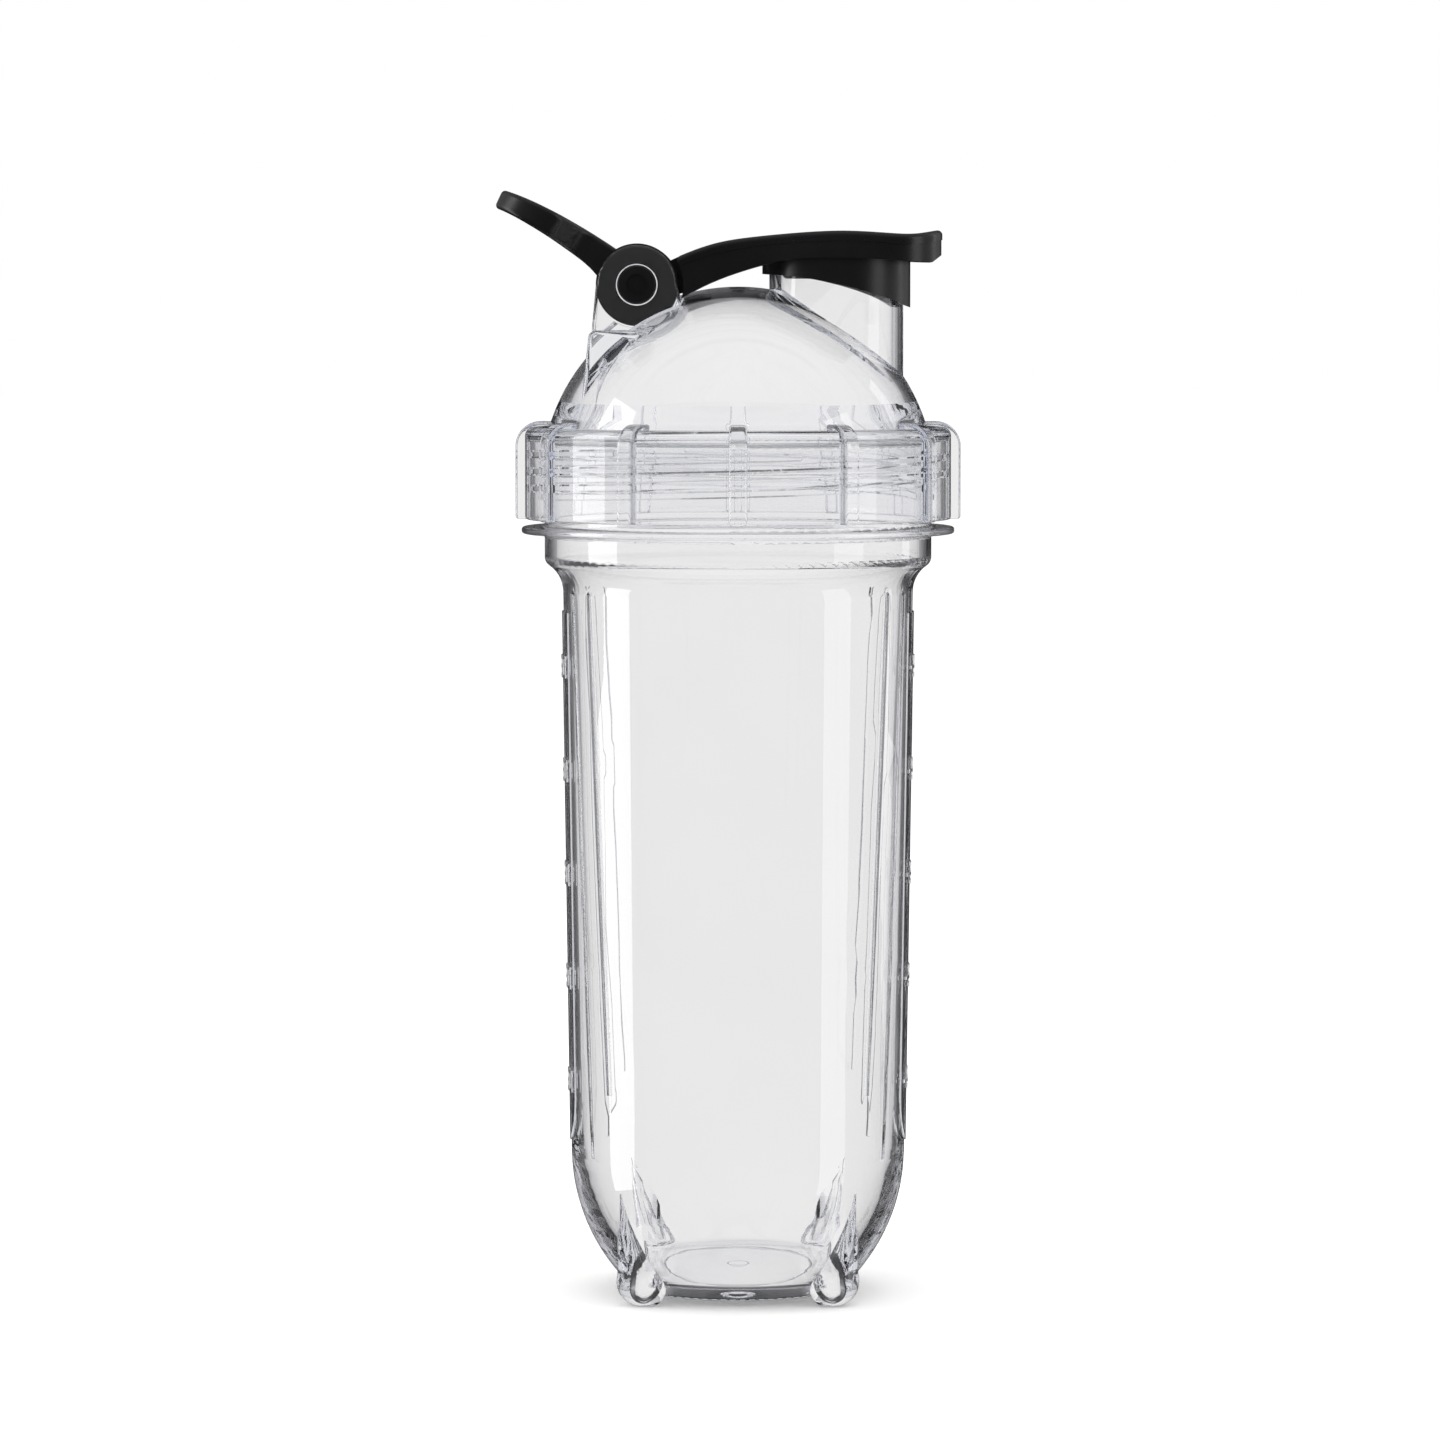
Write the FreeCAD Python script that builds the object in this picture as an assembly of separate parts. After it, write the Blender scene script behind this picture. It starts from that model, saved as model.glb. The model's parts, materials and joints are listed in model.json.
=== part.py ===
import FreeCAD, Part
import math
import os

# Clear screw-top shaker bottle with a domed lid, a flip cap over the spout and a carry loop.
# Lengths are in millimetres. Z is the axis of the bottle and its feet stand on z = 0. The spout
# lies towards +X, and the hinge of the flip cap and carry loop towards -X, with its axis along Y.

Vector = FreeCAD.Vector
ORIGIN = Vector(0, 0, 0)
UP = Vector(0, 0, 1)
ACROSS = Vector(0, 1, 0)

# Bottle: a slightly tapered wall over a rounded bottom, with a disc between the feet
BASE_Z = 1.2
BASE_R = 24.2
BASE_ROUND = 2.5
SIDE_LOW_R = 37.8
SIDE_HIGH_R = 39.8
SIDE_HIGH_Z = 160.5
BOTTOM_ROUND = 43.5
SHOULDER_SHARE = 0.75
WALL = 2.5
UNDER_R = 17.5
UNDER_DEPTH = 0.6
GATE_R = 2.2
FLOOR_Z = 5.5
FLOOR_R = 22.6
INNER_BOTTOM_ROUND = 40.0
INNER_SHOULDER_SHARE = 0.9
INNER_SHOULDER_RISE = 0.2

# Neck, with a flange that the lid's collar stops above
NECK_R = 44.0
NECK_BORE_R = 41.3
NECK_FOOT_R = 44.0
NECK_FOOT_Z = 168.5
NECK_TOP_Z = 194.2
FLANGE_R = 49.2
FLANGE_Z = 173.8
FLANGE_THICK = 1.5

# Two-start screw thread, cut with clearance all round
THREAD_LEAD = 7.7
THREAD_STARTS = 2
THREAD_ROOT = 2.0
THREAD_CREST = 1.0
THREAD_EMBED = 0.4
THREAD_HEIGHT = 1.4
NECK_THREAD_Z = 182.0
NECK_THREAD_TURNS = 1.3
LID_THREAD_HEIGHT = 1.7
LID_THREAD_TURNS = 1.15

# Feet: four leaning cones with rounded ends, at 45 degrees to the spout
# height, distance from the axis and radius of each section
FOOT_SECTIONS = ((0.0, 29.9, 2.3), (1.2, 30.1, 4.3), (3.6, 30.7, 5.4), (7.5, 32.1, 4.5),
                 (12.5, 34.0, 3.1), (18.0, 35.7, 1.8), (26.0, 36.9, 0.7))
# height and radius at the two ends of the pocket in each foot
FOOT_HOLLOW_R = 30.0
FOOT_HOLLOW_LOW = (4.4, 2.2)
FOOT_HOLLOW_HIGH = (21.0, 2.5)

# Side panels on +X and -X, with raised volume marks, and two grip flutes on each side of them
PANEL_PROUD = 0.35
PANEL_HALF_WIDTH = 10.5
PANEL_LOW_Z = 35.0
PANEL_HIGH_Z = 156.0
MARK_PROUD = 0.65
MARK_STEP_Z = 23.6
MARK_FIRST_Z = 49.2
MARK_COUNT = 5
MARK_FIRST_ML = 150
STROKE = 0.8
DIGIT_HEIGHT = 4.2
DIGIT_WIDTH = 2.6
DIGIT_PITCH = 3.9
DIGIT_LEFT = -2.0
TICK = (-8.0, -3.5)
FLUTE_R = 1.9
FLUTE_DEPTH = 0.5
FLUTE_TOP_Z = 160.0
# bearing from the panel's centre at the top and at the faded lower end, and that end's height
FLUTES = ((33.0, 41.0, 48.0), (21.0, 31.0, 33.0))

# Lid: dome, collar with ribs, and a ring that plugs the bottle's mouth
DOME_R = 44.9
DOME_Z = 184.8
DOME_WALL = 2.4
COLLAR_R = 48.4
COLLAR_ROUND = 2.0
COLLAR_BORE_R = 46.2
COLLAR_LOW_Z = 177.0
COLLAR_TOP_Z = 197.9
COLLAR_ROOF_Z = 195.2
PLUG_R = 41.0
PLUG_BORE_R = 38.5
PLUG_LOW_Z = 188.0
RIB_COUNT = 12
RIB_WIDTH = 4.1
RIB_R = 50.6
RIB_TOP_Z = 199.2
RIB_ROUND = 5.7
RIB_EASE = 0.9
GASKET_GAP = 0.02
GASKET_SIDE_GAP = 0.15

# Spout
SPOUT_X = 22.3
SPOUT_R = 15.2
SPOUT_BORE_R = 12.6
SPOUT_TOP_Z = 234.0
SPOUT_ROUND = 0.9

# Hinge of the flip cap and carry loop: widths are half widths either side of the middle plane
HINGE_X = -22.8
HINGE_Z = 230.1
PIN_R = 4.4
PIN_BORE_R = 4.45
PIN_PRESS_GAP = 0.02
PIN_DIMPLE_R = 2.4
PIN_DIMPLE_DEPTH = 0.8
PIN_END_GAP = 0.15
PIN_CHAMFER = 0.3
KNUCKLE_R = 9.3
TROUGH_R = 9.8
EAR_R = 8.9
EAR_OUT = 13.2
EAR_IN = 10.2
EAR_EASE = 0.7
EAR_CHAMFER = 0.3
PEDESTAL_OUT = 20.5
PEDESTAL_TOP_Z = 219.8
PEDESTAL_EASE = 1.0
CAP_KNUCKLE = 5.4
LOOP_KNUCKLE_IN = 5.8
LOOP_KNUCKLE_OUT = 9.9
SADDLE_R = 46.6
SLOT_IN = 5.6
SLOT_OUT = 10.4
SLOT_R = 16.3
CHEEK_R = 10.5
DOME_CLEARANCE = 0.7

# Flip cap
LEVER_HINGE_HALF = 13.2
LEVER_SPOUT_HALF = 17.6
LEVER_TIP_X = 46.2
LEVER_ROUND = 13.0
LEVER_WAIST = 40.0
COVER_LIP = 0.2
COVER_EASE = 1.1
SKIRT_R = 16.8
SKIRT_BORE_R = 15.55
STOPPER_R = 12.3
STOPPER_LOW_Z = 231.5
STOPPER_TOP_Z = 235.4
BOSS_R = 5.0
BOSS_LOW_Z = 232.6

# Carry loop, along its own direction from the hinge
LOOP_ANGLE = 148.0
LOOP_LENGTH = 37.0
LOOP_HALF = 17.0
LOOP_NECK = 15.5
LOOP_HOLE_END = 30.5
LOOP_HOLE_HALF = 11.5
LOOP_EASE = 1.0


def at(x, z):
    return Vector(x, 0, z)


def rounded(corners):
    """Closed wire through (x, z) corners in the XZ plane. A third value rounds that corner."""
    count = len(corners)
    points = [at(c[0], c[1]) for c in corners]
    starts = []
    ends = []
    arcs = []
    for i, corner in enumerate(corners):
        here = points[i]
        radius = corner[2] if len(corner) > 2 else 0.0
        if not radius:
            starts.append(here)
            ends.append(here)
            arcs.append(None)
            continue
        back = (points[i - 1] - here).normalize()
        ahead = (points[(i + 1) % count] - here).normalize()
        half = back.getAngle(ahead) / 2.0
        run = radius / math.tan(half)
        middle = here + (back + ahead).normalize() * (radius / math.sin(half) - radius)
        starts.append(here + back * run)
        ends.append(here + ahead * run)
        arcs.append(Part.Arc(starts[-1], middle, ends[-1]).toShape())
    edges = []
    for i in range(count):
        if arcs[i]:
            edges.append(arcs[i])
        following = starts[(i + 1) % count]
        if ends[i].distanceToPoint(following) > 1e-4:
            edges.append(Part.makeLine(ends[i], following))
    return Part.Wire(edges)


def turned(wire):
    """Solid of revolution about Z."""
    return Part.Face(wire).revolve(ORIGIN, UP, 360)


def across(wire, low, high):
    """XZ outline made into a solid between two values of Y."""
    face = Part.Face(wire)
    face.translate(Vector(0, low, 0))
    return face.extrude(Vector(0, high - low, 0))


def pivot_cylinder(radius, low, high):
    """Cylinder about the hinge axis between two values of Y."""
    return Part.makeCylinder(radius, high - low, Vector(HINGE_X, low, HINGE_Z), ACROSS)


def both_sides(make, inner, outer):
    """What make builds between two values of Y, and its twin on the other side."""
    return [make(inner, outer), make(-outer, -inner)]


def spline(points):
    """Smooth edge through (x, z) points."""
    curve = Part.BSplineCurve()
    curve.interpolate([at(x, z) for x, z in points])
    return curve.toShape()


def band(top, bottom):
    """Closed wire between a smooth upper and a smooth lower line, joined by straight ends."""
    upper = spline(top)
    lower = spline(bottom)
    left = Part.makeLine(at(*bottom[0]), at(*top[0]))
    right = Part.makeLine(at(*bottom[-1]), at(*top[-1]))
    return Part.Wire([upper, right, lower, left])


def eased(plate, radius):
    """Plate with the edges of its two broad faces rounded."""
    broad = sorted(plate.Faces, key=lambda face: face.Area)[-2:]
    edges = {}
    for face in broad:
        for edge in face.Edges:
            edges[edge.hashCode()] = edge
    return plate.makeFillet(radius, list(edges.values()))


def s_bend(start, end, share):
    """Two arcs that leave start and reach end vertically, joined at a share of the way."""
    run = Vector(end[0] - start[0], 0, end[1] - start[1])
    sag = math.tan(math.atan2(run.x, run.z) / 2.0)
    inward = Vector(-run.z, 0, run.x)
    arcs = []
    for low, high, side in ((0.0, share, 1.0), (share, 1.0, -1.0)):
        first = at(*start) + run * low
        last = at(*start) + run * high
        middle = at(*start) + run * ((low + high) / 2.0)
        middle = middle + inward * (side * sag * (high - low) / 2.0)
        arcs.append(Part.Arc(first, middle, last).toShape())
    return arcs


def bottle_form(base, bottom_round, side_low_r, side_high_r, neck, top_z, share):
    """Solid of revolution from a flat disc, up a rounded bottom and tapered side, to the neck."""
    base_r, base_z = base
    corner_z = base_z + side_low_r - base_r
    bulb = turned(rounded([
        (0, base_z),
        (base_r, base_z, BASE_ROUND),
        (side_low_r, corner_z, bottom_round),
        (side_high_r, SIDE_HIGH_Z),
        (0, SIDE_HIGH_Z),
    ]))
    foot = (side_high_r, SIDE_HIGH_Z)
    neck_r = neck[0]
    shoulder = turned(Part.Wire(s_bend(foot, neck, share) + [
        Part.makeLine(at(*neck), at(neck_r, top_z)),
        Part.makeLine(at(neck_r, top_z), at(0, top_z)),
        Part.makeLine(at(0, top_z), at(0, SIDE_HIGH_Z)),
        Part.makeLine(at(0, SIDE_HIGH_Z), at(*foot)),
    ]))
    return bulb.fuse(shoulder)


def outer_form(grow=0.0):
    """The bottle's outside up to the flange, thickened by grow."""
    return bottle_form((BASE_R, BASE_Z), BOTTOM_ROUND, SIDE_LOW_R + grow, SIDE_HIGH_R + grow,
                       (NECK_FOOT_R, NECK_FOOT_Z), FLANGE_Z, SHOULDER_SHARE)


def cavity_form():
    """Room for the drink, open past the rim. Its shoulder runs level with the outer one."""
    return bottle_form((FLOOR_R, FLOOR_Z), INNER_BOTTOM_ROUND, SIDE_LOW_R - WALL, SIDE_HIGH_R - WALL,
                       (NECK_BORE_R, NECK_FOOT_Z + INNER_SHOULDER_RISE), NECK_TOP_Z + 5.0,
                       INNER_SHOULDER_SHARE)


def under_recess():
    """Shallow ring under the bottle's floor, round the point where the plastic was let in."""
    return turned(rounded([
        (GATE_R, BASE_Z - 1.0),
        (UNDER_R, BASE_Z - 1.0),
        (UNDER_R, BASE_Z + UNDER_DEPTH, 0.8),
        (GATE_R, BASE_Z + UNDER_DEPTH, 0.5),
    ]))


def thread(radius, turns, low_z, bearing, height, inward):
    """One helical ridge on a cylinder, standing outwards or inwards."""
    side = -1.0 if inward else 1.0
    helix = Part.makeHelix(THREAD_LEAD, THREAD_LEAD * turns, radius)
    root_r = radius - side * THREAD_EMBED
    crest_r = radius + side * height
    ridge = Part.makePolygon([
        at(root_r, -THREAD_ROOT / 2.0),
        at(crest_r, -THREAD_CREST / 2.0),
        at(crest_r, THREAD_CREST / 2.0),
        at(root_r, THREAD_ROOT / 2.0),
        at(root_r, -THREAD_ROOT / 2.0),
    ])
    sweep = Part.BRepOffsetAPI.MakePipeShell(helix)
    sweep.setFrenetMode(True)
    sweep.add(ridge)
    sweep.build()
    sweep.makeSolid()
    solid = sweep.shape()
    solid.rotate(ORIGIN, UP, bearing)
    solid.translate(Vector(0, 0, low_z))
    return solid


def threads(radius, turns, low_z, height, inward):
    step = 360.0 / THREAD_STARTS
    return [thread(radius, turns, low_z, step * i, height, inward) for i in range(THREAD_STARTS)]


def disc_edge(radius, x, z):
    """Circle of the given radius, flat at height z."""
    return Part.Wire(Part.makeCircle(radius, Vector(x, 0, z), UP))


def foot():
    """Leaning cone that grows out of the bottle's rounded bottom."""
    return Part.makeLoft([disc_edge(w, r, z) for z, r, w in FOOT_SECTIONS], True)


def foot_hollow():
    """Draft-angled pocket that runs down from the cavity into a foot."""
    low_z, low_w = FOOT_HOLLOW_LOW
    high_z, high_w = FOOT_HOLLOW_HIGH
    pocket = Part.makeCone(low_w, high_w, high_z - low_z, Vector(FOOT_HOLLOW_R, 0, low_z))
    return pocket.fuse(Part.makeSphere(low_w, Vector(FOOT_HOLLOW_R, 0, low_z)))


def flute(bearing_top, bearing_low, low_z):
    """Round groove that is deepest at the shoulder and fades out at its lower end."""
    def along(bearing, radius, z):
        turn = math.radians(bearing)
        return Vector(radius * math.cos(turn), radius * math.sin(turn), z)

    rise = (low_z - PANEL_LOW_Z) / (SIDE_HIGH_Z - PANEL_LOW_Z)
    low_r = SIDE_LOW_R + (SIDE_HIGH_R - SIDE_LOW_R) * rise
    top = along(bearing_top, SIDE_HIGH_R + FLUTE_R - FLUTE_DEPTH, FLUTE_TOP_Z)
    low = along(bearing_low, low_r + FLUTE_R, low_z)
    bar = Part.makeCylinder(FLUTE_R, (top - low).Length, low, top - low)
    return bar.fuse(Part.makeSphere(FLUTE_R, top))


def stroke(y0, z0, y1, z1):
    """Straight bar of a raised mark, standing out towards +X."""
    half = STROKE / 2.0
    low = Vector(SIDE_LOW_R - WALL, min(y0, y1) - half, min(z0, z1) - half)
    return Part.makeBox(3.0 * WALL, abs(y1 - y0) + STROKE, abs(z1 - z0) + STROKE, low)


def digit(number, left, low_z):
    """Figure built from the seven straight bars of a simple numeral."""
    right = left + DIGIT_WIDTH
    mid_z = low_z + DIGIT_HEIGHT / 2.0
    top_z = low_z + DIGIT_HEIGHT
    bars = {
        "top": (left, top_z, right, top_z),
        "middle": (left, mid_z, right, mid_z),
        "bottom": (left, low_z, right, low_z),
        "top_left": (left, mid_z, left, top_z),
        "top_right": (right, mid_z, right, top_z),
        "low_left": (left, low_z, left, mid_z),
        "low_right": (right, low_z, right, mid_z),
    }
    absent = {
        "0": ("middle",),
        "1": ("top", "middle", "bottom", "top_left", "low_left"),
        "2": ("top_left", "low_right"),
        "3": ("top_left", "low_left"),
        "4": ("top", "bottom", "low_left"),
        "5": ("top_right", "low_left"),
        "6": ("top_right",),
    }[number]
    return [stroke(*ends) for name, ends in bars.items() if name not in absent]


def volume_marks():
    """A tick and a number for every hundred millilitres, as prisms towards +X."""
    bars = []
    for i in range(MARK_COUNT):
        z = MARK_FIRST_Z + MARK_STEP_Z * i
        bars.append(stroke(TICK[0], z, TICK[1], z))
        for place, number in enumerate(str(MARK_FIRST_ML + 100 * i)):
            bars += digit(number, DIGIT_LEFT + DIGIT_PITCH * place, z - DIGIT_HEIGHT / 2.0)
    return bars


def side_panel(skin):
    """Raised strip with a round lower end, kept inside the skin it is given."""
    low = PANEL_LOW_Z + PANEL_HALF_WIDTH
    depth = 3.0 * WALL
    inner_x = SIDE_LOW_R - WALL
    strip = Part.makeBox(depth, 2 * PANEL_HALF_WIDTH, PANEL_HIGH_Z - low,
                         Vector(inner_x, -PANEL_HALF_WIDTH, low))
    end = Part.makeCylinder(PANEL_HALF_WIDTH, depth, Vector(inner_x, 0, low), Vector(1, 0, 0))
    return strip.fuse(end).common(skin)


def bottle_body():
    body = outer_form()
    flange = turned(rounded([
        (0, FLANGE_Z - 3.0),
        (NECK_FOOT_R, FLANGE_Z - 3.0),
        (NECK_FOOT_R, FLANGE_Z, 1.0),
        (FLANGE_R, FLANGE_Z, 0.6),
        (FLANGE_R, FLANGE_Z + FLANGE_THICK, 0.6),
        (NECK_R, FLANGE_Z + FLANGE_THICK, 0.8),
        (NECK_R, NECK_TOP_Z, 0.7),
        (0, NECK_TOP_Z),
    ]))
    panel = side_panel(outer_form(PANEL_PROUD))
    bars = volume_marks()
    marks = bars[0].fuse(bars[1:]).common(outer_form(MARK_PROUD))
    trims = [panel] + marks.Solids
    added = [flange]
    cutters = [under_recess()]
    for side in (0.0, 180.0):
        for piece in trims:
            turned_piece = piece.copy()
            turned_piece.rotate(ORIGIN, UP, side)
            added.append(turned_piece)
        for bearing_top, bearing_low, low_z in FLUTES:
            for hand in (1, -1):
                groove = flute(hand * bearing_top, hand * bearing_low, low_z)
                groove.rotate(ORIGIN, UP, side)
                cutters.append(groove)
    for i in range(4):
        for make, group in ((foot, added), (foot_hollow, cutters)):
            piece = make()
            piece.rotate(ORIGIN, UP, 45.0 + 90.0 * i)
            group.append(piece)
    body = body.fuse(added)
    body = body.cut(cutters)
    body = body.cut(cavity_form())
    ridges = threads(NECK_R, NECK_THREAD_TURNS, NECK_THREAD_Z, THREAD_HEIGHT, False)
    return body.fuse(ridges)


def ribs():
    """Grip ribs round the collar, one of them towards the spout."""
    section = rounded([
        (DOME_R - DOME_WALL, COLLAR_LOW_Z),
        (RIB_R, COLLAR_LOW_Z, 0.8),
        (RIB_R, RIB_TOP_Z, RIB_ROUND),
        (DOME_R - 2 * DOME_WALL, RIB_TOP_Z),
    ])
    blank = across(section, -RIB_WIDTH / 2.0, RIB_WIDTH / 2.0)
    tips = [e for e in blank.Edges if e.BoundBox.XMax > RIB_R - 0.2 and e.BoundBox.YLength < 0.1]
    blank = blank.makeFillet(RIB_EASE, tips)
    made = []
    for i in range(RIB_COUNT):
        rib = blank.copy()
        rib.rotate(ORIGIN, UP, i * 360.0 / RIB_COUNT)
        made.append(rib)
    return made


def lid_cavity():
    """Everything inside the lid: collar bore, plug ring bore and dome."""
    inner_r = DOME_R - DOME_WALL
    step_z = DOME_Z + math.sqrt(inner_r ** 2 - PLUG_BORE_R ** 2)
    bores = turned(rounded([
        (0, COLLAR_LOW_Z - 5.0),
        (COLLAR_BORE_R, COLLAR_LOW_Z - 5.0),
        (COLLAR_BORE_R, COLLAR_ROOF_Z, 0.5),
        (PLUG_R, COLLAR_ROOF_Z),
        (PLUG_R, PLUG_LOW_Z, 0.8),
        (PLUG_BORE_R, PLUG_LOW_Z, 0.8),
        (PLUG_BORE_R, step_z),
        (0, step_z),
    ]))
    ball = Part.makeSphere(inner_r, at(0, DOME_Z))
    lower_half = Part.makeCylinder(2 * inner_r, inner_r + step_z - DOME_Z, at(0, DOME_Z - inner_r))
    return bores.fuse(ball.cut(lower_half))


def pedestal():
    """Wide foot of the hinge's ears on the dome."""
    side = rounded([
        (-35.2, 203.0),
        (-33.4, PEDESTAL_TOP_Z, 1.5),
        (-15.0, PEDESTAL_TOP_Z),
        (-15.0, 203.0),
    ])
    return eased(across(side, -PEDESTAL_OUT, PEDESTAL_OUT), PEDESTAL_EASE)


def tower():
    """Two ears for the hinge pin, on a pedestal over the dome."""
    side = rounded([
        (-37.0, 205.5),
        (-33.6, 212.5),
        (-32.0, HINGE_Z),
        (HINGE_X, HINGE_Z),
        (-15.0, 234.3),
        (-12.2, 224.0),
        (-10.0, 215.0),
    ])
    block = across(side, -EAR_OUT, EAR_OUT).fuse(pivot_cylinder(EAR_R, -EAR_OUT, EAR_OUT)).removeSplitter()
    rims = [e for e in block.Edges if e.BoundBox.YLength < 0.01 and e.BoundBox.ZMax > 213.0]
    block = block.makeFillet(EAR_EASE, rims).fuse(pedestal())
    between = Part.makeBox(60.0, 2 * EAR_IN, 60.0, Vector(-60.0, -EAR_IN, 200.0))
    between = between.cut(Part.makeSphere(SADDLE_R, at(0, DOME_Z)))
    return block.cut(between)


def lid_shell():
    collar = turned(rounded([
        (0, COLLAR_LOW_Z),
        (COLLAR_R, COLLAR_LOW_Z, 0.6),
        (COLLAR_R, COLLAR_TOP_Z, COLLAR_ROUND),
        (0, COLLAR_TOP_Z),
    ]))
    dome = Part.makeSphere(DOME_R, at(0, DOME_Z))
    dome = dome.cut(Part.makeCylinder(60.0, 60.0, at(0, 190.0 - 60.0)))
    spout = Part.makeCylinder(SPOUT_R, SPOUT_TOP_Z - 200.0, at(SPOUT_X, 200.0))
    outside = collar.fuse([dome, spout, tower()] + ribs())
    shell = outside.cut(lid_cavity())
    # the trough under the barrel keeps its own wall inside the dome
    trough_wall = pivot_cylinder(TROUGH_R + DOME_WALL, -EAR_IN - DOME_WALL, EAR_IN + DOME_WALL)
    trough_wall = trough_wall.common(Part.makeSphere(DOME_R - 0.5, at(0, DOME_Z)))
    shell = shell.fuse(trough_wall)
    shell = shell.cut([
        pivot_cylinder(TROUGH_R, -EAR_IN, EAR_IN),
        pivot_cylinder(PIN_R + PIN_PRESS_GAP, -EAR_OUT - 1.0, EAR_OUT + 1.0),
        Part.makeCylinder(SPOUT_BORE_R, 40.0, at(SPOUT_X, 205.0)),
    ] + both_sides(bore_chamfer, EAR_OUT - EAR_CHAMFER, EAR_OUT))
    rim = [e for e in shell.Edges if e.BoundBox.ZMin > SPOUT_TOP_Z - 0.01 and e.BoundBox.XMin > 0]
    shell = shell.makeFillet(SPOUT_ROUND, rim)
    low_z = NECK_THREAD_Z + THREAD_LEAD / (2.0 * THREAD_STARTS)
    ridges = threads(COLLAR_BORE_R, LID_THREAD_TURNS, low_z, LID_THREAD_HEIGHT, True)
    return shell.fuse(ridges)


def bore_chamfer(inner, outer):
    """Cone that opens the ear's bore towards its outside face."""
    width = outer - inner
    low_r, high_r = (PIN_R, PIN_R + width) if outer > 0 else (PIN_R + width, PIN_R)
    return Part.makeCone(low_r, high_r, width, Vector(HINGE_X, inner, HINGE_Z), ACROSS)


def lid_gasket():
    """Flat sealing ring between the bottle's rim and the collar's roof."""
    low_z = NECK_TOP_Z + GASKET_GAP
    high_z = COLLAR_ROOF_Z - GASKET_GAP
    return turned(rounded([
        (PLUG_R + GASKET_SIDE_GAP, low_z, 0.2),
        (NECK_R - 0.1, low_z, 0.2),
        (NECK_R - 0.1, high_z, 0.2),
        (PLUG_R + GASKET_SIDE_GAP, high_z, 0.2),
    ]))


def lever_plan(grow):
    """The flip cap's outline from above, as a tall prism, widened by grow."""
    hinge_half = LEVER_HINGE_HALF + grow
    spout_half = LEVER_SPOUT_HALF + grow
    tip = LEVER_TIP_X - COVER_LIP + grow
    wire = rounded([
        (-22.0, -hinge_half),
        (2.0, -hinge_half, LEVER_WAIST),
        (16.0, -spout_half, LEVER_WAIST),
        (tip, -spout_half, LEVER_ROUND),
        (tip, spout_half, LEVER_ROUND),
        (16.0, spout_half, LEVER_WAIST),
        (2.0, hinge_half, LEVER_WAIST),
        (-22.0, hinge_half),
    ])
    face = Part.Face(wire)
    face.rotate(ORIGIN, Vector(1, 0, 0), -90)
    face.translate(Vector(0, 0, 215.0))
    return face.extrude(Vector(0, 0, 40.0))


def seam_line():
    """Between the lever's body and its cover."""
    return [(-15.5, 233.4), (-10.4, 235.4), (-5.2, 237.0), (4.0, 238.7), (14.0, 239.6), (24.5, 239.9),
            (34.0, 239.4), (38.5, 239.1), (42.5, 239.6), (48.0, 240.4)]


def cap_top_line():
    return [(-15.5, 235.5), (-10.4, 237.7), (-5.2, 239.4), (4.0, 240.9), (14.0, 241.8), (24.5, 242.2),
            (34.0, 241.7), (40.0, 241.6), (44.0, 242.2), (48.0, 242.8)]


def underside_line():
    return [(-16.0, 224.6), (-12.4, 227.2), (-5.2, 230.9), (4.1, 234.1), (11.8, 235.8),
            (21.0, 236.1), (30.8, 235.9), (38.9, 235.4), (48.0, 235.2)]


def loop_slots(inner):
    """Room either side of the cap's knuckle for the carry loop's arms."""
    return both_sides(lambda low, high: pivot_cylinder(SLOT_R, low, high), inner, SLOT_OUT)


def flip_cap():
    """Lever with the knuckle at its hinge end, the skirt round the spout and the stopper's boss."""
    wide = 2 * LEVER_SPOUT_HALF
    body = across(band(seam_line(), underside_line()), -wide, wide).common(lever_plan(0.0))
    # between the loop's arms the lever is solid up to its top
    web = across(band(cap_top_line(), underside_line()), -CAP_KNUCKLE, CAP_KNUCKLE)
    body = body.fuse(web.common(pivot_cylinder(SLOT_R, -CAP_KNUCKLE, CAP_KNUCKLE)))
    tip_corner = across(rounded([(42.9, 234.5), (50.0, 234.5), (50.0, 239.8)]), -wide, wide)
    cheek_gap = both_sides(lambda low, high: pivot_cylinder(CHEEK_R, low, high), SLOT_IN, wide)
    clearance = Part.makeSphere(DOME_R + DOME_CLEARANCE, at(0, DOME_Z))
    body = body.cut(cheek_gap + loop_slots(SLOT_IN) + [tip_corner, clearance])
    knuckle = pivot_cylinder(KNUCKLE_R, -CAP_KNUCKLE, CAP_KNUCKLE)
    skirt = Part.makeCylinder(SKIRT_R, 17.5, at(SPOUT_X, 220.0))
    skirt = skirt.cut(Part.makeCylinder(SKIRT_BORE_R, 16.6, at(SPOUT_X, 219.5)))
    back, front = at(4.5, 232.6), at(40.5, 224.4)
    below_back, below_front = at(back.x, 215.0), at(front.x, 215.0)
    hem = Part.Wire([
        Part.Arc(back, at(24.3, 229.8), front).toShape(),
        Part.makeLine(front, below_front),
        Part.makeLine(below_front, below_back),
        Part.makeLine(below_back, back),
    ])
    skirt = skirt.cut(across(hem, -wide, wide))
    boss = Part.makeCylinder(BOSS_R, 237.5 - BOSS_LOW_Z, at(SPOUT_X, BOSS_LOW_Z))
    cap = body.fuse([knuckle, skirt, boss])
    return cap.cut(pivot_cylinder(PIN_BORE_R, -CAP_KNUCKLE - 1.0, CAP_KNUCKLE + 1.0))


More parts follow.
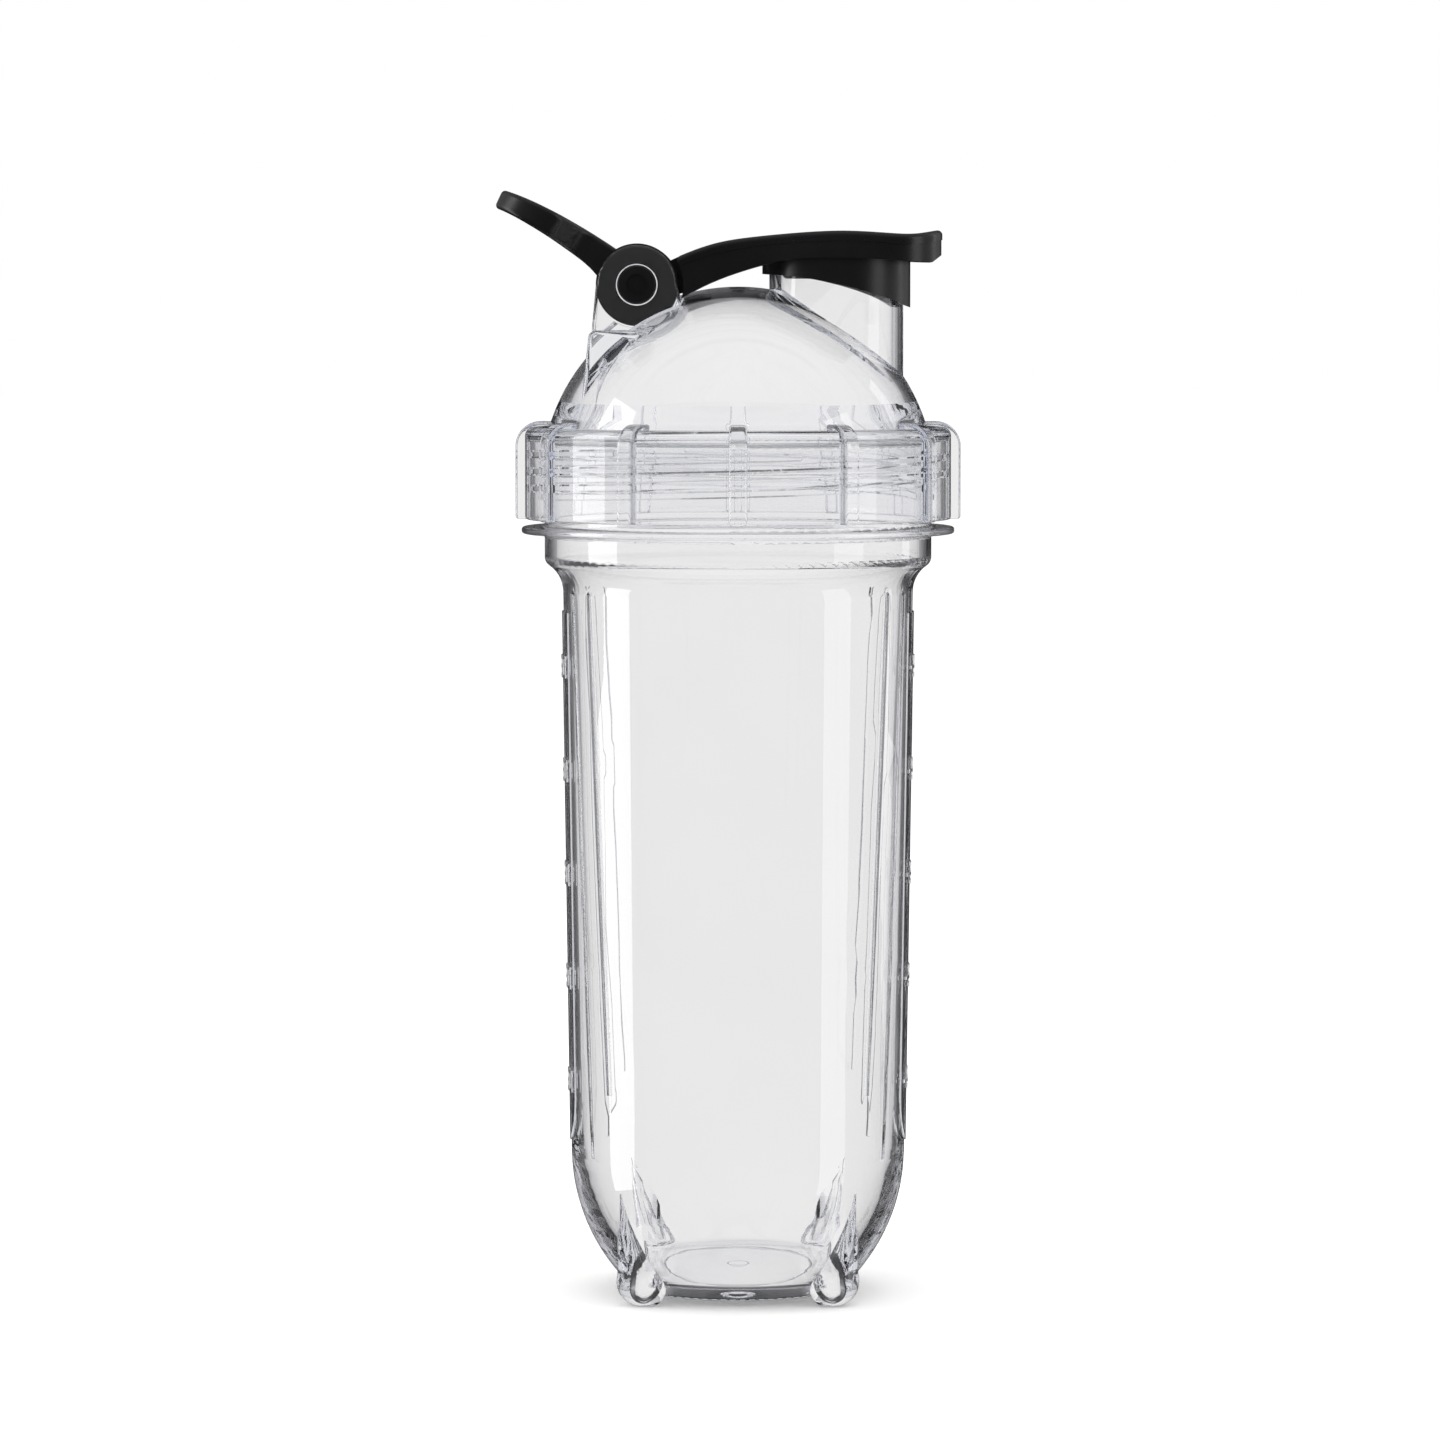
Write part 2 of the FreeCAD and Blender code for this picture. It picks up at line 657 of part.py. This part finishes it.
def cap_cover():
    """Top plate that closes the lever, a little wider so that it leaves a lip all round."""
    wide = 2 * LEVER_SPOUT_HALF
    plate = across(band(cap_top_line(), seam_line()), -wide, wide).common(lever_plan(COVER_LIP))
    web_room = pivot_cylinder(SLOT_R + COVER_LIP, -SLOT_OUT, SLOT_OUT)
    plate = plate.cut([web_room, pivot_cylinder(CHEEK_R, -wide, wide)])
    top = max(sorted(plate.Faces, key=lambda face: face.Area)[-2:], key=lambda face: face.CenterOfMass.z)
    return plate.makeFillet(COVER_EASE, top.Edges)


def spout_stopper():
    """Soft plug on the flip cap's boss that closes the spout."""
    plug = turned(rounded([
        (0, STOPPER_LOW_Z),
        (STOPPER_R, STOPPER_LOW_Z, 1.2),
        (STOPPER_R, STOPPER_TOP_Z, 0.3),
        (0, STOPPER_TOP_Z),
    ]))
    plug.translate(at(SPOUT_X, 0))
    return plug.cut(Part.makeCylinder(BOSS_R, 10.0, at(SPOUT_X, BOSS_LOW_Z)))


def hinge_pin():
    """Pin held in both ears, with a dimple in each end."""
    end = EAR_OUT - PIN_END_GAP
    pin = pivot_cylinder(PIN_R, -end, end)
    pin = pin.makeChamfer(PIN_CHAMFER, [e for e in pin.Edges if e.Closed])
    dimples = both_sides(lambda low, high: pivot_cylinder(PIN_DIMPLE_R, low, high),
                         end - PIN_DIMPLE_DEPTH, end + 1.0)
    return pin.cut(dimples)


def loop_plan():
    """The carry loop's outline seen along its thickness, as a tall prism along X before it is tilted."""
    outer = rounded([
        (0.0, -LOOP_KNUCKLE_OUT),
        (LOOP_NECK, -LOOP_KNUCKLE_OUT, 6.0),
        (LOOP_NECK + 8.0, -LOOP_HALF, 7.0),
        (LOOP_LENGTH, -LOOP_HALF, 10.5),
        (LOOP_LENGTH, LOOP_HALF, 10.5),
        (LOOP_NECK + 8.0, LOOP_HALF, 7.0),
        (LOOP_NECK, LOOP_KNUCKLE_OUT, 6.0),
        (0.0, LOOP_KNUCKLE_OUT),
    ])
    hole = rounded([
        (-20.0, -LOOP_KNUCKLE_IN),
        (LOOP_NECK + 0.5, -LOOP_KNUCKLE_IN, 5.0),
        (LOOP_NECK + 6.5, -LOOP_HOLE_HALF, 3.5),
        (LOOP_HOLE_END, -LOOP_HOLE_HALF, 6.5),
        (LOOP_HOLE_END, LOOP_HOLE_HALF, 6.5),
        (LOOP_NECK + 6.5, LOOP_HOLE_HALF, 3.5),
        (LOOP_NECK + 0.5, LOOP_KNUCKLE_IN, 5.0),
        (-20.0, LOOP_KNUCKLE_IN),
    ])
    shapes = []
    for wire in (outer, hole):
        face = Part.Face(wire)
        face.rotate(ORIGIN, Vector(1, 0, 0), -90)
        face.translate(Vector(0, 0, -15.0))
        shapes.append(face.extrude(Vector(0, 0, 30.0)))
    return shapes


def carry_loop():
    """Finger loop with two arms that end in knuckles either side of the flip cap's."""
    side = band(
        [(6.5, 4.2), (13.0, 4.4), (20.0, 4.3), (27.5, 3.8), (33.0, 3.0), (LOOP_LENGTH, 2.1)],
        [(8.0, -3.4), (11.6, -2.3), (16.0, -1.8), (22.0, -1.45), (28.0, -1.45), (32.5, -1.7),
         (LOOP_LENGTH - 0.6, -2.3)],
    )
    outer, hole = loop_plan()
    blade = across(side, -LOOP_HALF, LOOP_HALF).common(outer).cut(hole)
    blade = eased(blade, LOOP_EASE)
    # built along +X, then turned to face -X and tilted up about the hinge
    blade.rotate(ORIGIN, UP, 180)
    blade.rotate(ORIGIN, ACROSS, 180.0 - LOOP_ANGLE)
    blade.translate(at(HINGE_X, HINGE_Z))
    knuckles = both_sides(lambda low, high: pivot_cylinder(KNUCKLE_R, low, high),
                          LOOP_KNUCKLE_IN, LOOP_KNUCKLE_OUT)
    loop = blade.fuse(knuckles)
    bore = pivot_cylinder(PIN_BORE_R, -LOOP_KNUCKLE_OUT - 1.0, LOOP_KNUCKLE_OUT + 1.0)
    return loop.cut(bore)


NODES = {
    "bottle_body": bottle_body,
    "lid_shell": lid_shell,
    "lid_gasket": lid_gasket,
    "flip_cap": flip_cap,
    "cap_cover": cap_cover,
    "spout_stopper": spout_stopper,
    "hinge_pin": hinge_pin,
    "carry_loop": carry_loop,
}


def main():
    os.makedirs("parts", exist_ok=True)
    for name, make in NODES.items():
        shape = make()
        solids = shape.Solids
        shape = solids[0] if len(solids) == 1 else shape
        print(name, "valid", shape.isValid(), "solids", len(solids), "volume", round(shape.Volume))
        shape.exportStep(os.path.join("parts", name + ".step"))


main()
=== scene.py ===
import json
import math

import bpy
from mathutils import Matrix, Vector

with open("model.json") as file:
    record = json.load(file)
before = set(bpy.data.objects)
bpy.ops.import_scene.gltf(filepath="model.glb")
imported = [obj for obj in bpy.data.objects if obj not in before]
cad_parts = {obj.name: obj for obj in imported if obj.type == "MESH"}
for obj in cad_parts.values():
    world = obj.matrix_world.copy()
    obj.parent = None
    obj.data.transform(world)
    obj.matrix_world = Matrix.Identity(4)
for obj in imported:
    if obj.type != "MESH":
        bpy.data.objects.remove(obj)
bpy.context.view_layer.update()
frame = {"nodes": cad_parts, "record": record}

# The bottle stands on the floor plane z = 0, with its axis on Z and its spout towards +X.
CAMERA_BACK = 1.43
CAMERA_HEIGHT = 0.226
CAMERA_AIM = (-0.0041, 0.0, 0.1311)
CAMERA_LENS = 157.1
CLEAR_IOR = 1.57
BLACK_IOR = 1.49
SILICONE_IOR = 1.41
FLOOR_HALF = 14.0
FLOOR_GLOW = 0.16
# the cap and the loop turn about one axis, and the loop's hinge is the record's last joint
HINGE_X, _, HINGE_Z = frame["record"]["behaviour"]["joints"][-1]["pos_m"]
# radii of the chamfer in the clear ear round the hinge pin, which is painted light grey there as a painted
# highlight
PIN_RIM = (0.00443, 0.00468)
# name, place, what it faces, size, the brightness it should show, and whether shiny surfaces mirror it
LIGHTS = [("left_strip", (-1.298, -0.07, 0.30), (0, 0, 0.14), (0.55, 1.5), 3.4, True),
          ("right_soft", (1.25, -0.50, 0.25), (0, 0, 0.14), (0.5, 1.6), 1.5, True),
          ("right_rim", (1.16, 0.60, 0.40), (0, 0, 0.20), (0.20, 1.2), 1.2, True),
          ("overhead", (0.1, -0.2, 1.6), (0, 0, 0.1), (1.2, 1.2), 1.2, False)]
# a mirrored ray sees the soft room once it has passed more surfaces, or been mirrored more often, than this
SURFACES_PASSED = 2.5
TIMES_MIRRORED = 3.5
# brightness of the surroundings from straight down, 0, to straight up, 1
BACKDROP = [(0.0, (0.45, 0.45, 0.45)), (0.20, (0.85, 0.85, 0.85)), (0.33, (0.93, 0.926, 0.918)),
            (0.75, (0.93, 0.926, 0.918)), (0.88, (0.85, 0.85, 0.85)), (1.0, (0.50, 0.50, 0.50))]
# the room round the object, by bearing: behind the camera at 0 and 1, left at 0.25, ahead at 0.5 and
# right at 0.75
ROOM = [(0.0, (0.05, 0.05, 0.052)), (0.20, (0.06, 0.06, 0.062)), (0.27, (0.45, 0.45, 0.46)),
        (0.40, (0.40, 0.40, 0.41)), (0.43, (0.02, 0.02, 0.022)), (0.57, (0.02, 0.02, 0.022)),
        (0.60, (0.40, 0.40, 0.41)), (0.73, (0.45, 0.45, 0.46)), (0.80, (0.06, 0.06, 0.062)),
        (1.0, (0.05, 0.05, 0.052))]
# the same room from straight down, 0, to straight up, 1, and how far that replaces the bearing's colour
ROOM_HEIGHT = [(0.0, (0.30, 0.30, 0.31)), (0.12, (0.04, 0.04, 0.042)), (0.47, (0.04, 0.04, 0.042)),
               (0.53, (0.50, 0.50, 0.51)), (1.0, (0.50, 0.50, 0.51))]
STEEP = [(0.0, (1.0, 1.0, 1.0)), (0.30, (0.95, 0.95, 0.95)), (0.44, (0.6, 0.6, 0.6)),
         (0.50, (0.0, 0.0, 0.0)), (0.75, (0.25, 0.25, 0.25)), (1.0, (1.0, 1.0, 1.0))]
SOFT_ROOM = [(0.0, (0.85, 0.85, 0.87)), (0.5, (0.70, 0.70, 0.72)), (1.0, (0.88, 0.88, 0.90))]


# ---------------------------------------------------------------- node helpers
def new_material(name):
    """Empty node material with its output node."""
    mat = bpy.data.materials.new(name)
    mat.use_nodes = True
    mat.node_tree.nodes.clear()
    out = mat.node_tree.nodes.new("ShaderNodeOutputMaterial")
    return mat, mat.node_tree, out


def node(tree, kind, **values):
    """Adds a node, sets its properties, and sets its inputs by name where the value's key matches one."""
    made = tree.nodes.new(kind)
    for key, value in values.items():
        if key in made.inputs:
            made.inputs[key].default_value = value
        else:
            setattr(made, key, value)
    return made


def ramp(tree, source, stops):
    """Colour ramp from (position, colour) stops, driven by a socket."""
    made = tree.nodes.new("ShaderNodeValToRGB")
    elements = made.color_ramp.elements
    while len(elements) < len(stops):
        elements.new(0.5)
    for element, (position, colour) in zip(elements, stops):
        element.position = position
        element.color = (*colour, 1.0) if len(colour) == 3 else colour
    tree.links.new(source, made.inputs["Fac"])
    return made.outputs["Color"]


def value_range(tree, source, low, high):
    """Maps a 0 to 1 socket to a range of values."""
    made = node(tree, "ShaderNodeMapRange")
    made.inputs["To Min"].default_value = low
    made.inputs["To Max"].default_value = high
    tree.links.new(source, made.inputs["Value"])
    return made.outputs["Result"]


def noise(tree, scale, detail=3.0, stretch=(1.0, 1.0, 1.0), roughness=0.5):
    """Noise in object coordinates, in cycles per metre, stretched along the axes."""
    place = node(tree, "ShaderNodeTexCoord")
    spread = node(tree, "ShaderNodeMapping", Scale=stretch)
    tree.links.new(place.outputs["Object"], spread.inputs["Vector"])
    made = node(tree, "ShaderNodeTexNoise", Scale=scale, Detail=detail, Roughness=roughness)
    tree.links.new(spread.outputs["Vector"], made.inputs["Vector"])
    return made.outputs["Fac"]


def math_node(tree, operation, *values):
    """Math node whose inputs are sockets or numbers; gives its output socket."""
    made = node(tree, "ShaderNodeMath", operation=operation)
    for socket, value in zip(made.inputs, values):
        if isinstance(value, (int, float)):
            socket.default_value = value
        else:
            tree.links.new(value, socket)
    return made.outputs[0]


def mixed(tree, factor, first, second):
    """First colour where the factor is 0, and second where it is 1."""
    made = node(tree, "ShaderNodeMix", data_type="RGBA")
    # the node's colour sockets come after those for numbers and vectors
    colour_a, colour_b, colour_out = 6, 7, 2
    for name, socket in (("Factor", factor), (colour_a, first), (colour_b, second)):
        tree.links.new(socket, made.inputs[name])
    return made.outputs[colour_out]


def bump(tree, height, distance, after=None):
    """Surface relief a distance high in metres, laid over an earlier bump if there is one."""
    made = node(tree, "ShaderNodeBump", Strength=1.0, Distance=distance)
    tree.links.new(height, made.inputs["Height"])
    if after is not None:
        tree.links.new(after, made.inputs["Normal"])
    return made.outputs["Normal"]


# ---------------------------------------------------------------- materials
def hinge_ring(tree, inner, outer):
    """1 in the band between two radii round the hinge's axis, and 0 elsewhere."""
    place = node(tree, "ShaderNodeTexCoord")
    split = node(tree, "ShaderNodeSeparateXYZ")
    tree.links.new(place.outputs["Object"], split.inputs["Vector"])
    squares = []
    for axis, centre in (("X", HINGE_X), ("Z", HINGE_Z)):
        offset = math_node(tree, "SUBTRACT", split.outputs[axis], centre)
        squares.append(math_node(tree, "POWER", math_node(tree, "ABSOLUTE", offset), 2.0))
    away = math_node(tree, "SQRT", math_node(tree, "ADD", *squares))
    inside = math_node(tree, "LESS_THAN", away, outer)
    beyond = math_node(tree, "GREATER_THAN", away, inner)
    return math_node(tree, "MULTIPLY", inside, beyond)


def clear_plastic(name, tint, density, waviness, matt_highlight_rim=None):
    """Polished clear copolyester: a faint cool tint with depth, soft moulding ripples and hairline wear.
    A pair of radii, when given, makes the chamfer round the hinge pin matt and opaque and paints it light
    grey as a painted highlight."""
    mat, tree, out = new_material(name)
    shader = node(tree, "ShaderNodeBsdfPrincipled")
    shader.inputs["IOR"].default_value = CLEAR_IOR
    tone = ramp(tree, noise(tree, 35.0, 3.0), [(0.3, (0.985, 0.987, 0.993)), (0.7, (1.0, 1.0, 1.0))])
    wear = noise(tree, 60.0, 4.0, (1.0, 1.0, 0.25))
    gloss = value_range(tree, wear, 0.0, 0.008)
    if matt_highlight_rim is None:
        shader.inputs["Transmission Weight"].default_value = 1.0
    else:
        # painted highlight: within the chamfer ring round the hinge pin the plastic is made matt and opaque
        # and coloured light grey, standing in for the glint the chamfer catches
        ring = hinge_ring(tree, *matt_highlight_rim)
        matt = ramp(tree, noise(tree, 900.0, 2.0),
                    [(0.3, (0.60, 0.61, 0.63)), (0.7, (0.80, 0.81, 0.83))])
        tone = mixed(tree, ring, tone, matt)
        gloss = math_node(tree, "MAXIMUM", gloss, math_node(tree, "MULTIPLY", ring, 0.5))
        tree.links.new(math_node(tree, "SUBTRACT", 1.0, ring), shader.inputs["Transmission Weight"])
    tree.links.new(tone, shader.inputs["Base Color"])
    tree.links.new(gloss, shader.inputs["Roughness"])
    ripple = noise(tree, 26.0, 2.0, (1.0, 1.0, 0.45))
    tree.links.new(bump(tree, ripple, waviness), shader.inputs["Normal"])
    tree.links.new(shader.outputs["BSDF"], out.inputs["Surface"])
    depth = node(tree, "ShaderNodeVolumeAbsorption")
    depth.inputs["Color"].default_value = (*tint, 1.0)
    depth.inputs["Density"].default_value = density
    tree.links.new(depth.outputs["Volume"], out.inputs["Volume"])
    return mat


def black_plastic(name, roughness, grain):
    """Black polypropylene: near-black with a slight cool variation, a fine grain and a soft sheen."""
    mat, tree, out = new_material(name)
    shader = node(tree, "ShaderNodeBsdfPrincipled")
    shader.inputs["IOR"].default_value = BLACK_IOR
    tone = ramp(tree, noise(tree, 90.0, 4.0),
                [(0.3, (0.0035, 0.0035, 0.004)), (0.7, (0.006, 0.006, 0.007))])
    tree.links.new(tone, shader.inputs["Base Color"])
    patch = noise(tree, 120.0, 5.0)
    tree.links.new(value_range(tree, patch, roughness * 0.8, roughness * 1.25), shader.inputs["Roughness"])
    flow = noise(tree, 45.0, 2.0, (0.4, 1.0, 1.0))
    soft = bump(tree, flow, 0.00012)
    fine = bump(tree, noise(tree, 2600.0, 2.0), grain, after=soft)
    tree.links.new(fine, shader.inputs["Normal"])
    tree.links.new(shader.outputs["BSDF"], out.inputs["Surface"])
    return mat


def silicone(name):
    """Translucent silicone: milky, matte and slightly dusty."""
    mat, tree, out = new_material(name)
    shader = node(tree, "ShaderNodeBsdfPrincipled")
    tone = ramp(tree, noise(tree, 200.0, 3.0), [(0.3, (0.80, 0.82, 0.84)), (0.7, (0.88, 0.90, 0.91))])
    tree.links.new(tone, shader.inputs["Base Color"])
    shader.inputs["Transmission Weight"].default_value = 0.85
    shader.inputs["IOR"].default_value = SILICONE_IOR
    tree.links.new(value_range(tree, noise(tree, 300.0), 0.28, 0.42), shader.inputs["Roughness"])
    tree.links.new(shader.outputs["BSDF"], out.inputs["Surface"])
    return mat


def elastomer(name):
    """Dark thermoplastic elastomer: matte, with a fine grain."""
    mat, tree, out = new_material(name)
    shader = node(tree, "ShaderNodeBsdfPrincipled")
    tone = ramp(tree, noise(tree, 150.0, 4.0), [(0.3, (0.020, 0.020, 0.022)), (0.7, (0.032, 0.032, 0.035))])
    tree.links.new(tone, shader.inputs["Base Color"])
    tree.links.new(value_range(tree, noise(tree, 400.0), 0.5, 0.68), shader.inputs["Roughness"])
    tree.links.new(bump(tree, noise(tree, 3000.0, 3.0), 0.00003), shader.inputs["Normal"])
    tree.links.new(shader.outputs["BSDF"], out.inputs["Surface"])
    return mat


def finish_node(name, mat):
    """Gives a CAD node its material in every slot."""
    slots = frame["nodes"][name].data.materials
    if not len(slots):
        slots.append(mat)
    for i in range(len(slots)):
        slots[i] = mat


finish_node("bottle_body", clear_plastic("clear_bottle", (0.86, 0.87, 0.91), 8.0, 0.00002))
finish_node("lid_shell", clear_plastic("clear_lid", (0.84, 0.86, 0.93), 10.0, 0.00002, PIN_RIM))
finish_node("lid_gasket", silicone("gasket_silicone"))
finish_node("flip_cap", black_plastic("cap_black", 0.30, 0.000012))
finish_node("cap_cover", black_plastic("cover_black", 0.26, 0.000008))
finish_node("hinge_pin", black_plastic("pin_black", 0.34, 0.000010))
finish_node("carry_loop", black_plastic("loop_black", 0.32, 0.000012))
finish_node("spout_stopper", elastomer("stopper_black"))


# ---------------------------------------------------------------- floor, world and lights
def floor():
    """Plain pale floor, larger than any view of the object takes in."""
    mesh = bpy.data.meshes.new("floor")
    low, high = -FLOOR_HALF, FLOOR_HALF
    corners = [(low, low, 0), (high, low, 0), (high, high, 0), (low, high, 0)]
    mesh.from_pydata(corners, [], [(0, 1, 2, 3)])
    made = bpy.data.objects.new("floor", mesh)
    bpy.context.scene.collection.objects.link(made)
    mat, tree, out = new_material("floor_paper")
    shader = node(tree, "ShaderNodeBsdfPrincipled", Roughness=0.9)
    tone = ramp(tree, noise(tree, 6.0, 2.0), [(0.3, (0.95, 0.95, 0.945)), (0.7, (0.965, 0.965, 0.96))])
    tree.links.new(tone, shader.inputs["Base Color"])
    tree.links.new(tone, shader.inputs["Emission Color"])
    shader.inputs["Emission Strength"].default_value = FLOOR_GLOW
    tree.links.new(shader.outputs["BSDF"], out.inputs["Surface"])
    mesh.materials.append(mat)
    made.visible_transmission = False
    made.visible_glossy = False


def studio_world():
    """What a ray sees depends on its path. The camera and matt surfaces see white. A ray that passes
    straight through clear plastic sees the backdrop, one that is mirrored on the way sees the dim room,
    and a mirrored one that has passed several surfaces, or been mirrored often, sees the soft room."""
    world = bpy.data.worlds.new("studio")
    bpy.context.scene.world = world
    world.use_nodes = True
    tree = world.node_tree
    tree.nodes.clear()
    out = tree.nodes.new("ShaderNodeOutputWorld")
    place = node(tree, "ShaderNodeTexCoord")
    split = node(tree, "ShaderNodeSeparateXYZ")
    tree.links.new(place.outputs["Generated"], split.inputs["Vector"])
    height = math_node(tree, "MULTIPLY_ADD", split.outputs["Z"], 0.5, 0.5)
    path = node(tree, "ShaderNodeLightPath")
    mirrored = math_node(tree, "GREATER_THAN", path.outputs["Glossy Depth"], 0.5)
    through_more = math_node(tree, "GREATER_THAN", path.outputs["Transmission Depth"], SURFACES_PASSED)
    turned_more = math_node(tree, "GREATER_THAN", path.outputs["Glossy Depth"], TIMES_MIRRORED)
    deep = math_node(tree, "MAXIMUM", through_more, turned_more)
    plain = math_node(tree, "MAXIMUM", path.outputs["Is Camera Ray"], path.outputs["Is Diffuse Ray"])
    turn = math_node(tree, "ARCTAN2", split.outputs["X"], split.outputs["Y"])
    bearing = math_node(tree, "MULTIPLY_ADD", turn, 0.5 / math.pi, 0.5)
    room = mixed(tree, ramp(tree, height, STEEP), ramp(tree, bearing, ROOM),
                 ramp(tree, height, ROOM_HEIGHT))
    glance = mixed(tree, deep, room, ramp(tree, height, SOFT_ROOM))
    seen = mixed(tree, mirrored, ramp(tree, height, BACKDROP), glance)
    white = node(tree, "ShaderNodeRGB")
    white.outputs[0].default_value = (1.0, 1.0, 1.0, 1.0)
    glow = node(tree, "ShaderNodeBackground")
    tree.links.new(mixed(tree, plain, seen, white.outputs[0]), glow.inputs["Color"])
    tree.links.new(glow.outputs[0], out.inputs["Surface"])


def softbox(name, place, aim, size, radiance, mirrored):
    """Rectangular light that faces a point, its power set from the brightness it should show."""
    data = bpy.data.lights.new(name, "AREA")
    data.shape = "RECTANGLE"
    data.size, data.size_y = size
    data.energy = radiance * math.pi * size[0] * size[1]
    made = bpy.data.objects.new(name, data)
    bpy.context.scene.collection.objects.link(made)
    made.location = place
    towards = Vector(aim) - Vector(place)
    made.rotation_euler = towards.to_track_quat("-Z", "Y").to_euler()
    made.visible_camera = False
    made.visible_transmission = False
    made.visible_glossy = mirrored


def camera():
    """Camera level with the spout, in front of the bottle, as in a product photograph."""
    data = bpy.data.cameras.new("camera")
    data.lens = CAMERA_LENS
    made = bpy.data.objects.new("camera", data)
    bpy.context.scene.collection.objects.link(made)
    made.location = (0.0, -CAMERA_BACK, CAMERA_HEIGHT)
    aim = Vector(CAMERA_AIM) - made.location
    made.rotation_euler = aim.to_track_quat("-Z", "Y").to_euler()
    bpy.context.scene.camera = made


def render_look():
    """Colour as in a plain product photograph, and enough bounces for clear plastic."""
    scene = bpy.context.scene
    scene.view_settings.view_transform = "Standard"
    scene.view_settings.look = "None"
    cycles = scene.cycles
    cycles.max_bounces = 32
    cycles.transmission_bounces = 32
    cycles.glossy_bounces = 24
    cycles.diffuse_bounces = 3
    cycles.transparent_max_bounces = 16
    cycles.sample_clamp_indirect = 8.0


camera()
floor()
studio_world()
for light in LIGHTS:
    softbox(*light)
render_look()
